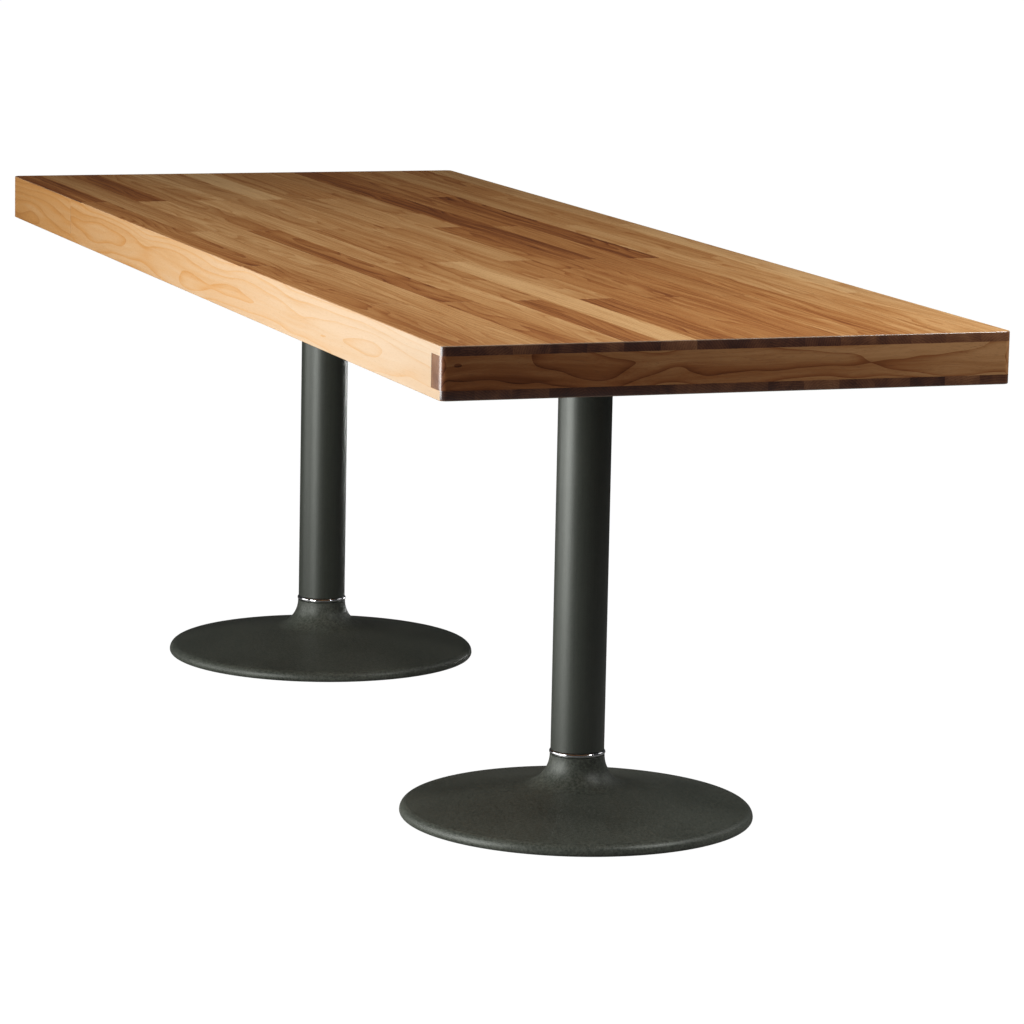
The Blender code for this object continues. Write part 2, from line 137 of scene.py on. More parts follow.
def add_lights():
    """Soft boxes all round, and a backdrop that is white only to the camera."""
    add_softbox("key", (0.72, -2.25, 0.76), (0.6, 0.0, 0.55), 1.3, 1.4, 46)
    add_softbox("side_panel", (-1.3, -2.9, 0.7), (0.3, 0.0, 0.3), 2.0, 1.4, 28)
    add_softbox("overhead", (0.30, -0.3, 3.2), (0.15, 0.0, 0.75), 2.0, 1.6, 34.5)
    add_softbox("end_fill", (1.9, 1.35, 2.3), (1.125, 0.2, 0.65), 0.7, 0.6, 9.8, 90.0)
    add_softbox("rear_fill", (-0.6, 4.2, 2.4), (-0.3, 0.0, 0.4), 1.8, 1.6, 12)
    add_softbox("left_fill", (-2.2, 2.6, 0.30), (-1.125, 0.0, 0.74), 0.6, 0.4, 1.6, 40.0)
    world = bpy.data.worlds.new("studio")
    world.use_nodes = True
    bpy.context.scene.world = world
    tree = world.node_tree
    backdrop = tree.nodes["Background"]
    rays = tree.nodes.new("ShaderNodeLightPath")
    white = tree.nodes.new("ShaderNodeBackground")
    both = tree.nodes.new("ShaderNodeMixShader")
    backdrop.inputs["Color"].default_value = (0.9, 0.95, 1.0, 1.0)
    backdrop.inputs["Strength"].default_value = 0.03
    white.inputs["Color"].default_value = (1.0, 1.0, 1.0, 1.0)
    tree.links.new(rays.outputs["Is Camera Ray"], both.inputs[0])
    tree.links.new(backdrop.outputs[0], both.inputs[1])
    tree.links.new(white.outputs[0], both.inputs[2])
    tree.links.new(both.outputs[0], tree.nodes["World Output"].inputs["Surface"])


def add_floor():
    """A plain white floor that runs into the backdrop."""
    shape = bmesh.new()
    bmesh.ops.create_grid(shape, x_segments=1, y_segments=1, size=30.0)
    mesh = bpy.data.meshes.new("floor")
    shape.to_mesh(mesh)
    shape.free()
    material = bpy.data.materials.new("floor_white")
    material.use_nodes = True
    tree = material.node_tree
    tree.nodes.clear()
    rays = tree.nodes.new("ShaderNodeLightPath")
    plain = tree.nodes.new("ShaderNodeBsdfDiffuse")
    glow = tree.nodes.new("ShaderNodeEmission")
    share = tree.nodes.new("ShaderNodeMath")
    both = tree.nodes.new("ShaderNodeMixShader")
    end = tree.nodes.new("ShaderNodeOutputMaterial")
    plain.inputs["Color"].default_value = (0.32, 0.32, 0.315, 1.0)
    glow.inputs["Color"].default_value = (1.0, 1.0, 1.0, 1.0)
    glow.inputs["Strength"].default_value = 1.15
    share.operation = "MULTIPLY"
    share.inputs[1].default_value = 0.88
    tree.links.new(rays.outputs["Is Camera Ray"], share.inputs[0])
    tree.links.new(share.outputs[0], both.inputs[0])
    tree.links.new(plain.outputs[0], both.inputs[1])
    tree.links.new(glow.outputs[0], both.inputs[2])
    tree.links.new(both.outputs[0], end.inputs["Surface"])
    mesh.materials.append(material)
    floor = bpy.data.objects.new("floor", mesh)
    bpy.context.scene.collection.objects.link(floor)


# ---------------------------------------------------------------- finishes

PORE_BROWN = (0.10, 0.045, 0.02)
EDGE_WEAR_AND_HIGHLIGHT = 0.35  # how much of the pale edge colour shows on an eased edge: wear, and a painted highlight along the arris


class Finish:
    """Builds one material's nodes. Patterns are in metres, on the piece's own coordinates."""

    def __init__(self, name):
        self.material = bpy.data.materials.new(name)
        self.material.use_nodes = True
        self.tree = self.material.node_tree
        self.shader = self.tree.nodes["Principled BSDF"]
        self.place = self.node("ShaderNodeTexCoord").outputs["Object"]

    def node(self, kind, inputs=None, **settings):
        made = self.tree.nodes.new(kind)
        for key, value in settings.items():
            setattr(made, key, value)
        for key, value in (inputs or {}).items():
            if isinstance(value, bpy.types.NodeSocket):
                self.tree.links.new(value, made.inputs[key])
            else:
                made.inputs[key].default_value = value
        return made

    def math(self, operation, first, second=0.0, third=0.0):
        inputs = {0: first, 1: second, 2: third}
        return self.node("ShaderNodeMath", inputs, operation=operation).outputs[0]

    def vector(self, operation, first, second):
        return self.node("ShaderNodeVectorMath", {0: first, 1: second}, operation=operation).outputs[0]

    def mapped(self, vector, scale=(1, 1, 1), rotation=(0, 0, 0)):
        inputs = {"Vector": vector, "Scale": scale, "Rotation": rotation}
        return self.node("ShaderNodeMapping", inputs).outputs[0]

    def noise(self, vector, scale=1.0, detail=2.0, rough=0.5):
        inputs = {"Vector": vector, "Scale": scale, "Detail": detail, "Roughness": rough}
        return self.node("ShaderNodeTexNoise", inputs).outputs["Fac"]

    def spread(self, value, low, high, to_low=0.0, to_high=1.0):
        """Stretches a range of values to another one and clamps it."""
        inputs = {"Value": value, "From Min": low, "From Max": high, "To Min": to_low, "To Max": to_high}
        return self.node("ShaderNodeMapRange", inputs).outputs["Result"]

    def ramp(self, value, stops):
        made = self.node("ShaderNodeValToRGB", {"Fac": value})
        steps = made.color_ramp.elements
        for number, (position, colour) in enumerate(stops):
            step = steps[number] if number < 2 else steps.new(position)
            step.position = position
            step.color = (*colour, 1.0)
        return made.outputs["Color"]

    def mix(self, share, first, second, blend="MIX"):
        inputs = {0: share}
        for key, colour in ((6, first), (7, second)):
            inputs[key] = colour if isinstance(colour, bpy.types.NodeSocket) else (*colour, 1.0)
        made = self.node("ShaderNodeMix", inputs, data_type="RGBA", blend_type=blend)
        return made.outputs[2]

    def attribute(self, name, output="Fac"):
        return self.node("ShaderNodeAttribute", attribute_name=name).outputs[output]

    def grain(self, along):
        """The piece's coordinates, moved to where its wood was cut and turned so that X is the grain."""
        turn = (0, 0, 0) if along == "X" else (0, 0, math.pi / 2)
        moved = self.vector("ADD", self.place, self.attribute("shift", "Vector"))
        return self.mapped(moved, rotation=turn)

    def level(self, tone, axis, painted_light_falloff, patterns):
        """How light the wood is: the board's tone, a painted light falloff along an axis, and the patterns on
        it.
        """
        distance = self.node("ShaderNodeSeparateXYZ", {0: self.place}).outputs[axis]
        # painted light: the wood is made lighter along the axis by painted_light_falloff a metre, in place of
        # the light's fall across the face
        level = self.math("MULTIPLY_ADD", distance, painted_light_falloff, self.math("ADD", self.attribute("tone"), tone))
        for pattern, share in patterns:
            centred = self.math("SUBTRACT", pattern, 0.5)
            level = self.math("MULTIPLY_ADD", centred, share * 2, level)
        return level

    def bump(self, height, depth, strength):
        inputs = {"Height": height, "Distance": depth, "Strength": strength}
        return self.node("ShaderNodeBump", inputs).outputs[0]

    def done(self, colour, roughness, normal, **plain):
        """Links what varies, and sets what doesn't on the shader's own sockets."""
        self.tree.links.new(colour, self.shader.inputs["Base Color"])
        self.tree.links.new(roughness, self.shader.inputs["Roughness"])
        self.tree.links.new(normal, self.shader.inputs["Normal"])
        for key, value in plain.items():
            socket = key.replace("_", " ").title().replace("Ior", "IOR")
            self.shader.inputs[socket].default_value = value
        return self.material


def wood(name, stops, tone, along="X", ring_scale=60.0, bend=0.020, rings=0.16, drift=0.34, streaks=0.34,
         fibres=0.12, pores=0.3, reach=0.7, across=7.0, line=1.6, painted_light_falloff=0.0, rough=0.46, **finish):
    """Long-grain solid wood: growth rings about the grain, streaks and pores along it.

    Reach and across say how fast the rings wander along the grain and across it, line how thin
    their dark edge is, and painted_light_falloff how much lighter the wood is painted in a metre
    along the grain, a painted gradient of light rather than a change in the wood.
    """
    made = Finish(name)
    grain = made.grain(along)
    wandering = made.mapped(grain, (reach, across, across))
    wander = made.node("ShaderNodeTexNoise", {"Vector": wandering, "Detail": 1.5})
    pushed = made.vector("SUBTRACT", wander.outputs["Color"], (0.5, 0.5, 0.5))
    pushed = made.vector("MULTIPLY", pushed, (bend, bend * 2, bend * 2))
    bent = made.vector("ADD", grain, pushed)
    wave = made.node(
        "ShaderNodeTexWave",
        {
            "Vector": made.mapped(bent, (0.06, 1, 1)),
            "Scale": ring_scale,
            "Distortion": 0.9,
            "Detail": 2.0,
            "Detail Scale": 0.5,
            "Detail Roughness": 0.55,
        },
        wave_type="RINGS",
        rings_direction="X",
        wave_profile="SAW",
    ).outputs["Fac"]
    wave = made.math("POWER", wave, line)
    shade = made.noise(made.mapped(bent, (0.7, 24, 24)), detail=2.0, rough=0.5)
    streak = made.noise(made.mapped(bent, (1.1, 120, 120)), detail=4.0, rough=0.58)
    fibre = made.noise(made.mapped(bent, (22, 1500, 1500)), detail=2.0, rough=0.6)
    pore = made.spread(made.noise(made.mapped(bent, (70, 1900, 1900)), detail=1.0), 0.60, 0.72)
    patterns = ((shade, drift), (streak, streaks), (fibre, fibres), (wave, -rings))
    colour = made.ramp(made.level(tone, along, painted_light_falloff, patterns), stops)
    colour = made.mix(made.math("MULTIPLY", pore, pores), colour, PORE_BROWN)
    # pale dashes on eased edges: wear, and a painted highlight of the arris catching the light
    wear_and_highlight = made.math("MULTIPLY", made.attribute("wear_and_highlight"), made.spread(streak, 0.3, 0.6))
    colour = made.mix(made.math("MULTIPLY", wear_and_highlight, EDGE_WEAR_AND_HIGHLIGHT), colour, (0.78, 0.56, 0.34))
    polish = made.spread(streak, 0.25, 0.75, rough - 0.07, rough + 0.08)
    polish = made.math("MULTIPLY_ADD", pore, 0.18, polish)
    relief = made.math("MULTIPLY_ADD", pore, -1.0, made.math("MULTIPLY", fibre, 0.6))
    relief = made.math("MULTIPLY_ADD", wave, 0.25, relief)
    return made.done(colour, polish, made.bump(relief, 0.00012, 0.5), **finish)


def end_grain(name, stops, tone, along="X", painted_light_falloff=0.0, rough=0.55):
    """Wood seen on its cut end: arcs of growth rings, pores and blotches, with a painted light falloff that
    makes it lighter towards the rear.
    """
    made = Finish(name)
    flat = made.mapped(made.grain(along), (0.15, 1, 1))
    wave = made.node(
        "ShaderNodeTexWave",
        {"Vector": flat, "Scale": 95.0, "Distortion": 2.2, "Detail": 3.0, "Detail Scale": 0.5},
        wave_type="RINGS",
        rings_direction="X",
        wave_profile="SAW",
    ).outputs["Fac"]
    blotch = made.noise(flat, 38.0, 3.0)
    speck = made.noise(flat, 900.0, 2.0, 0.7)
    cells = made.node("ShaderNodeTexVoronoi", {"Vector": flat, "Scale": 1100.0}).outputs["Distance"]
    pore = made.spread(cells, 0.28, 0.12)
    patterns = ((wave, -0.09), (blotch, 0.36), (speck, 0.26))
    colour = made.ramp(made.level(tone, "Y", painted_light_falloff, patterns), stops)
    colour = made.mix(made.math("MULTIPLY", pore, 0.55), colour, (0.025, 0.012, 0.008))
    # a paler colour on eased edges: wear, and a painted highlight along the arris
    wear_and_highlight = made.math("MULTIPLY", made.attribute("wear_and_highlight"), EDGE_WEAR_AND_HIGHLIGHT)
    colour = made.mix(wear_and_highlight, colour, (0.42, 0.26, 0.14))
    polish = made.spread(speck, 0.3, 0.7, rough - 0.08, rough + 0.1)
    relief = made.math("MULTIPLY_ADD", pore, -1.0, made.math("MULTIPLY", speck, 0.7))
    return made.done(
        colour, polish, made.bump(relief, 0.0001, 0.5), specular_ior_level=0.2, coat_weight=1.0,
        coat_roughness=0.24, coat_ior=1.75,
    )


def textured_paint(name, colour, light, rough, grain_scale, depth, brushed=False, gloss=0.5):
    """Sprayed paint with a fine tooth, faint cloudiness and rubbed spots."""
    made = Finish(name)
    cloud = made.noise(made.place, 7.0, 1.0)
    tooth = made.noise(made.place, grain_scale, 3.0, 0.65)
    speck = made.noise(made.place, grain_scale * 0.45, 2.0, 0.6)
    level = made.math("MULTIPLY_ADD", cloud, 0.4, made.math("MULTIPLY", speck, 0.9))
    level = made.math("MULTIPLY_ADD", tooth, 0.6, level)
    height = tooth
    if brushed:
        brush = made.noise(made.mapped(made.place, (520, 520, 9)), detail=3.0, rough=0.6)
        level = made.math("MULTIPLY_ADD", brush, 0.9, level)
        height = made.math("MULTIPLY_ADD", brush, 0.8, tooth)
    shade = made.mix(made.spread(level, 0.72, 1.55 if brushed else 1.25), colour, light)
    scuff = made.noise(made.mapped(made.place, (60, 60, 18)), detail=4.0, rough=0.7)
    scuff = made.spread(scuff, 0.66, 0.74)
    shade = made.mix(made.math("MULTIPLY", scuff, 0.08), shade, (0.20, 0.20, 0.18))
    polish = made.spread(speck, 0.2, 0.8, rough - 0.05, rough + 0.05)
    polish = made.math("MULTIPLY_ADD", scuff, 0.05, polish)
    return made.done(
        shade, polish, made.bump(height, depth, 0.6), specular_ior_level=gloss,
        specular_tint=(0.96, 1.0, 0.94, 1.0),
    )


def bright_metal(name, colour, rough, spare, wear_scale, turned=True):
    """Metal with fine machining lines, handling marks and a little dullness."""
    made = Finish(name)
    lines = made.noise(made.mapped(made.place, (30, 30, 2600) if turned else (900, 900, 900)), detail=2.0)
    marks = made.noise(made.place, wear_scale, 4.0, 0.6)
    shade = made.mix(made.spread(marks, 0.35, 0.75), colour, tuple(part * 0.78 for part in colour))
    polish = made.spread(marks, 0.3, 0.75, rough, rough + spare)
    polish = made.math("MULTIPLY_ADD", lines, spare * 0.4, polish)
    return made.done(shade, polish, made.bump(lines, 0.00002, 0.4), metallic=1.0)


def moulded_plastic(name, colour, light, rough):
    """Dull black plastic with a fine tooth and pale scuffs."""
    made = Finish(name)
    cloud = made.noise(made.place, 60.0, 3.0)
    tooth = made.noise(made.place, 2200.0, 2.0)
    scuff = made.spread(made.noise(made.place, 260.0, 4.0, 0.7), 0.58, 0.72)
    share = made.math("MULTIPLY_ADD", scuff, 0.5, made.math("MULTIPLY", cloud, 0.3))
    shade = made.mix(share, colour, light)
    polish = made.spread(cloud, 0.3, 0.7, rough - 0.05, rough + 0.05)
    polish = made.math("MULTIPLY_ADD", scuff, 0.15, polish)
    return made.done(shade, polish, made.bump(tooth, 0.00004, 0.5))


FACE_STOPS = (
    (0.0, (0.120, 0.032, 0.009)),
    (0.16, (0.222, 0.066, 0.016)),
    (0.34, (0.355, 0.130, 0.034)),
    (0.50, (0.440, 0.190, 0.058)),
    (0.68, (0.525, 0.262, 0.094)),
    (1.0, (0.690, 0.410, 0.180)),
)
SIDE_STOPS = (
    (0.0, (0.50, 0.215, 0.058)),
    (0.28, (0.64, 0.31, 0.095)),
    (0.5, (0.69, 0.41, 0.19)),
    (0.75, (0.71, 0.50, 0.31)),
    (1.0, (0.74, 0.57, 0.40)),
)
BOARD_STOPS = (
    (0.0, (0.050, 0.013, 0.004)),
    (0.3, (0.172, 0.050, 0.014)),
    (0.55, (0.270, 0.096, 0.030)),
    (0.8, (0.380, 0.175, 0.066)),
    (1.0, (0.470, 0.240, 0.100)),
)
CUT_STOPS = (
    (0.0, (0.022, 0.006, 0.004)),
    (0.3, (0.070, 0.020, 0.009)),
    (0.6, (0.175, 0.064, 0.025)),
    (1.0, (0.340, 0.160, 0.070)),
)
CORE_STOPS = (
    (0.0, (0.36, 0.22, 0.11)),
    (0.5, (0.50, 0.34, 0.19)),
    (1.0, (0.62, 0.45, 0.27)),
)

face_wood = wood(
    "face_wood", FACE_STOPS, 0.04, rings=0.13, drift=0.38, reach=0.45, across=4.5, line=2.5,
    specular_ior_level=0.22,
)
# painted light: its falloff paints the long sides paler towards the right end, where the key light falls
side_wood = wood(
    "side_wood", SIDE_STOPS, 0.46, ring_scale=52.0, bend=0.016, rings=0.12, drift=0.12, streaks=0.20,
    fibres=0.08, pores=0.10, reach=0.55, across=3.0, line=5.0, painted_light_falloff=0.28, rough=0.45,
    specular_ior_level=0.2, coat_weight=0.3, coat_roughness=0.25,
)
# painted light: its falloff paints the end boards lighter towards the rear, as if lit from that side
end_wood = wood(
    "end_wood", BOARD_STOPS, 0.56, along="Y", ring_scale=64.0, bend=0.018, rings=0.20, drift=0.34,
    streaks=0.34, fibres=0.14, pores=0.35, reach=1.0, across=3.0, line=5.0, painted_light_falloff=0.50, rough=0.45,
    specular_ior_level=0.2, coat_weight=0.3, coat_roughness=0.25,
)
# painted light: its falloff paints the cut ends lighter towards the rear, as if lit from that side
cut_wood = end_grain("cut_wood", CUT_STOPS, 0.02, painted_light_falloff=0.22)
cut_board = end_grain("cut_board", CUT_STOPS, 0.78, along="Y")
core_wood = wood("core_wood", CORE_STOPS, 0.5, pores=0.2, rough=0.7)
base_paint = textured_paint(
    "base_paint", (0.032, 0.037, 0.029), (0.128, 0.138, 0.114), 0.40, 600.0, 0.0005,
)
column_paint = textured_paint(
    "column_paint", (0.010, 0.012, 0.009), (0.038, 0.044, 0.034), 0.42, 1100.0, 0.00008,
    brushed=True, gloss=1.0,
)
plate_coat = textured_paint(
    "plate_steel", (0.020, 0.021, 0.020), (0.045, 0.046, 0.044), 0.48, 800.0, 0.0001,
)
ring_metal = bright_metal("polished_metal", (0.90, 0.90, 0.91), 0.06, 0.10, 240.0)
zinc_metal = bright_metal("zinc_steel", (0.66, 0.66, 0.64), 0.28, 0.18, 300.0, turned=False)
pad_plastic = moulded_plastic("pad_plastic", (0.016, 0.016, 0.017), (0.05, 0.05, 0.052), 0.55)


# ---------------------------------------------------------------- shaping and fitting


def add_piece(name, shape, materials, body, nodes, sharp=35.0):
    """Makes the finished piece, rides it on its body and hides the nodes it stands for."""
    bmesh.ops.recalc_face_normals(shape, faces=shape.faces)
    mesh = bpy.data.meshes.new(name)
    shape.to_mesh(mesh)
    shape.free()
    for material in materials:
        mesh.materials.append(material)
    mesh.shade_smooth()
    mesh.set_sharp_from_angle(angle=math.radians(sharp))
    piece = bpy.data.objects.new(name, mesh)
    bpy.context.scene.collection.objects.link(piece)
    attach(piece, body)
    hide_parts(*nodes)
    return piece


def worked(shape, tool, operation):
    """The shape joined to the tool, or cut by it. Both are used up."""
    made = []
    for name, source in (("work", shape), ("tool", tool)):
        bmesh.ops.recalc_face_normals(source, faces=source.faces)
        mesh = bpy.data.meshes.new(name)
        source.to_mesh(mesh)
        source.free()
        helper = bpy.data.objects.new(name, mesh)
        bpy.context.scene.collection.objects.link(helper)
        made.append(helper)
    change = made[0].modifiers.new("tool", "BOOLEAN")
    change.operation = operation
    change.solver = "EXACT"
    change.object = made[1]
    result = bmesh.new()
    result.from_object(made[0], bpy.context.evaluated_depsgraph_get())
    for helper in made:
        mesh = helper.data
        bpy.data.objects.remove(helper)
        bpy.data.meshes.remove(mesh)
    return result


def add_shape(target, source, x=0.0, y=0.0):
    """Copies a shape into another one at a place, and uses it up."""
    mesh = bpy.data.meshes.new("copy")
    source.to_mesh(mesh)
    source.free()
    mesh.transform(Matrix.Translation((x, y, 0.0)))
    target.from_mesh(mesh)
    bpy.data.meshes.remove(mesh)
    return target


def arc(centre_radius, centre_height, radius, start, end, steps):
    """Points along an arc in the outline plane, with angles in radians."""
    angles = [start + (end - start) * step / steps for step in range(steps + 1)]
    return [(centre_radius + radius * math.cos(a), centre_height + radius * math.sin(a)) for a in angles]


def turned(outline, steps, closed=True):
    """Spins an outline of (radius, height) points about Z."""
    shape = bmesh.new()
    points = [shape.verts.new((radius, 0.0, height)) for radius, height in outline]
    ends = points[1:] + points[:1] if closed else points[1:]
    edges = [shape.edges.new(pair) for pair in zip(points, ends)]
    bmesh.ops.spin(
        shape, geom=edges, axis=(0, 0, 1), cent=(0, 0, 0), steps=steps, angle=2 * math.pi, use_merge=True
    )
    bmesh.ops.remove_doubles(shape, verts=shape.verts, dist=1e-6)
    return shape


def upright(radius, low, high, steps=SMALL_STEPS, x=0.0, y=0.0):
    shape = bmesh.new()
    bmesh.ops.create_cone(
        shape, cap_ends=True, segments=steps, radius1=radius, radius2=radius, depth=high - low,
        matrix=Matrix.Translation((x, y, (low + high) / 2)),
    )
    return shape


def hexagon(flats, low, high):
    """A hexagon bar end with its corners turned off top and bottom."""
    corner = flats / math.sqrt(3)
    shape = upright(corner, low, high, 6)
    tilt = math.tan(math.radians(30))
    turned_from = 0.90  # share of the corner radius
    for end, height in ((1, high), (-1, low)):
        for step in range(6):
            angle = math.radians(60 * step)
            out = Vector((math.cos(angle) * tilt, math.sin(angle) * tilt, end)).normalized()
            rim = Vector((math.cos(angle), math.sin(angle), 0)) * (corner * turned_from)
            rim += Vector((0, 0, height))
            cut = bmesh.ops.bisect_plane(
                shape, geom=[*shape.verts, *shape.edges, *shape.faces], plane_co=rim, plane_no=out,
                clear_outer=True,
            )
            edges = [part for part in cut["geom_cut"] if isinstance(part, bmesh.types.BMEdge)]
            bmesh.ops.edgeloop_fill(shape, edges=edges)
    return shape


def threaded(radius, low, high, pitch, depth):
    """Outline points of a screw thread as seen in section, from low to high."""
    count = int((high - low) / pitch)
    points = []
    for step in range(count):
        start = low + step * pitch
        points.append((radius, start + pitch * 0.08))
        points.append((radius - depth, start + pitch * 0.5))
        points.append((radius, start + pitch * 0.92))
    return points


# ---------------------------------------------------------------- tabletop


def add_board(shape, low, high, tone, shift, eased_height=None, side_index=None, end_index=None):
    """Adds one board with eased edges, and its outer corners rounded where it is at a table corner.

    The eased height is the level of its show face. The indices are material slots.
    """
    low, high = Vector(low), Vector(high)
    tones = shape.faces.layers.float["tone"]
    shifts = shape.faces.layers.float_vector["shift"]
    wear_and_highlight = shape.faces.layers.float["wear_and_highlight"]
    place = Matrix.Translation((low + high) / 2) @ Matrix.Diagonal((*(high - low), 1.0))
    old = set(shape.faces)
    bmesh.ops.create_cube(shape, size=1.0, matrix=place)

    def own_edges():
        return {edge for face in shape.faces if face not in old for edge in face.edges}

    def outward(point):
        return max(abs(point.x) - HALF_LENGTH, abs(point.y) - HALF_WIDTH)

    def round_corner(point):
        return abs(point.x) > HALF_LENGTH - CORNER_RADIUS and abs(point.y) > HALF_WIDTH - CORNER_RADIUS

    def rises(edge):
        return abs(edge.verts[0].co.z - edge.verts[1].co.z) > RISE

    def on_show_face(edge):
        return all(abs(vert.co.z - eased_height) < TINY for vert in edge.verts)

    made = [face for face in shape.faces if face not in old]
    on_side = [face for face in made if outward(face.calc_center_median()) > -TINY]
    splice = -SPLICE * math.copysign(1.0, low.y + high.y)
    if side_index == SIDE_SLOT and low.x < splice < high.x and on_side:
        parts = {part for face in on_side for part in (face, *face.edges, *face.verts)}
        bmesh.ops.bisect_plane(shape, geom=list(parts), plane_co=(splice, 0, 0), plane_no=(1, 0, 0))

    corners = [
        edge
        for edge in own_edges()
        if rises(edge)
        and abs(edge.verts[0].co.x) > HALF_LENGTH - RISE
        and abs(edge.verts[0].co.y) > HALF_WIDTH - RISE
    ]
    if corners:
        bmesh.ops.bevel(
            shape, geom=corners, offset=CORNER_RADIUS, segments=CORNER_STEPS, profile=0.5, affect="EDGES",
            material=-1,
        )
    if eased_height is not None:
        middles = {edge: (edge.verts[0].co + edge.verts[1].co) / 2 for edge in own_edges()}
        outer = [
            edge
            for edge, middle in middles.items()
            if on_show_face(edge) and (outward(middle) > -TINY or round_corner(middle))
        ]
        if outer:
            eased = bmesh.ops.bevel(
                shape, geom=outer, offset=ARRIS, segments=ARRIS_STEPS, profile=0.5, affect="EDGES",
                material=-1,
            )
            # eased edges are marked for the pale edge colour: wear, and a painted highlight
            for face in eased["faces"]:
                face[wear_and_highlight] = 1.0
    square = [edge for edge in own_edges() if edge.calc_face_angle(0.0) > math.radians(80)]
    inner = [edge for edge in square if (rises if eased_height is None else on_show_face)(edge)]
    bmesh.ops.bevel(
        shape, geom=inner, offset=GLUE_LINE, segments=1, profile=0.5, affect="EDGES", material=-1,
    )
    for face in shape.faces:
        if face in old:
            continue
        face.normal_update()
        face[tones] = tone
        face[shifts] = shift
        middle = face.calc_center_median()
        if end_index is not None and abs(face.normal.x) > 0.45:
            face.material_index = end_index
            face[tones] = 0.08 + tone * 0.72  # cut ends differ less than the faces do
        elif side_index is not None and abs(face.normal.y) > 0.8 and outward(middle) > -SIDE_REACH:
            face.material_index = side_index
            face[tones] = 0.0
            face[shifts] = side_shift(middle) if side_index == SIDE_SLOT else shift


def side_shift(point):
    """Puts the heart of the pale side wood just behind its face, which gives a broad figure.

    The wood beyond each side's splice comes from another board.
    """
    side = math.copysign(1.0, point.y)
    depth = 0.050
    along, height = (5.30, -0.690) if point.x * -side < SPLICE else (0.37, -0.705)
    return Vector((along * side, -side * (HALF_WIDTH - depth), height))


def end_shift(side):
    """The same for the end boards, whose grain runs across the table."""
    depth = 0.05
    return Vector((math.copysign(HALF_LENGTH - depth, -side), 0.34, -0.722))


def board_set():
    """An empty shape that holds the layers which the wood finishes read."""
    shape = bmesh.new()
    shape.faces.layers.float.new("tone")
    shape.faces.layers.float_vector.new("shift")
    shape.faces.layers.float.new("wear_and_highlight")
    return shape


# How light each kind of stave is, from nearly black heartwood to the palest sapwood.
TONES = {"d": 0.09, "r": 0.19, "b": 0.31, "m": 0.42, "t": 0.52, "g": 0.61, "p": 0.72, "w": 0.84}
# The staves of each strip, from the left end to the right one, front strip first.
FACE_LAY_UP = "rbm ttt dgg mrb ggt tmr wtp mtb mgb tbb rrb rmm mdm tgt mtg ppp".split()
UNDERSIDE_LAY_UP = "tbm rtg bdt gmb tgr mtb dbm gtt brm wtb mdg tbt grm btd mbg tmb".split()
chooser = random.Random(7)


def strip_edges():
    """The Y of each joint between the strips."""
    inner = [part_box(f"face_strip_{number:02d}") for number in range(1, 17)]
    joints = [(first[1].y + second[0].y) / 2 for first, second in zip(inner, inner[1:])]
    return [-HALF_WIDTH, *joints, HALF_WIDTH]


def stave_shift():
    """Where in its own tree a stave was cut, so that no two share a figure."""
    along = chooser.uniform(-20.0, 20.0)
    across = chooser.uniform(-0.09, 0.09)
    deep = chooser.uniform(0.02, 0.14)
    return Vector((along, across, deep))


def add_strip(shape, number, staves, low_y, high_y, low_z, high_z, eased):
    """Adds the three staves of one strip, end to end."""
    ends = [-HALF_LENGTH, *STAVE_ENDS[number % 2], HALF_LENGTH]
    for kind, start, end in zip(staves, ends, ends[1:]):
        shift = stave_shift()
        middle = Vector((0.0, (low_y + high_y) / 2, (low_z + high_z) / 2))
        tone = TONES[kind] + chooser.uniform(-0.03, 0.03)
        add_board(
            shape, (start, low_y, low_z), (end, high_y, high_z), tone, shift - middle, eased, SIDE_SLOT,
            CUT_SLOT,
        )


def add_tabletop():
    """The strips of the face, the underside, the side and end boards, and the hidden core."""
    edges = strip_edges()
    materials = (face_wood, cut_wood, side_wood)
    for number, staves in enumerate(FACE_LAY_UP):
        shape = board_set()
        add_strip(shape, number, staves, edges[number], edges[number + 1], FACE_BOTTOM, TOP, TOP)
        node = f"face_strip_{number + 1:02d}"
        add_piece(f"{node}_staves", shape, materials, BODY, [node])
    shape = board_set()
    for number, staves in enumerate(UNDERSIDE_LAY_UP):
        low_y, high_y = edges[number], edges[number + 1]
        add_strip(shape, number, staves, low_y, high_y, TOP_BOTTOM, CORE_BOTTOM, TOP_BOTTOM)
    add_piece("underside_staves", shape, materials, BODY, ["underside_panel"])

    for name in [f"{side}_side_board_{kind}" for side in ("front", "rear") for kind in ("long", "short")]:
        low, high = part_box(name)
        shape = board_set()
        add_board(shape, low, high, 0.0, side_shift((low + high) / 2), end_index=CUT_SLOT)
        add_piece(f"{name}_wood", shape, (side_wood, cut_wood), BODY, [name])
    for name in ("left_end_board", "right_end_board"):
        low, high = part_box(name)
        shape = board_set()
        add_board(shape, low, high, 0.0, end_shift(low.x), side_index=CUT_SLOT)
        add_piece(f"{name}_wood", shape, (end_wood, cut_board), BODY, [name])
    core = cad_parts["core_panel"]
    core.data.materials.clear()
    core.data.materials.append(core_wood)


# ---------------------------------------------------------------- pedestals

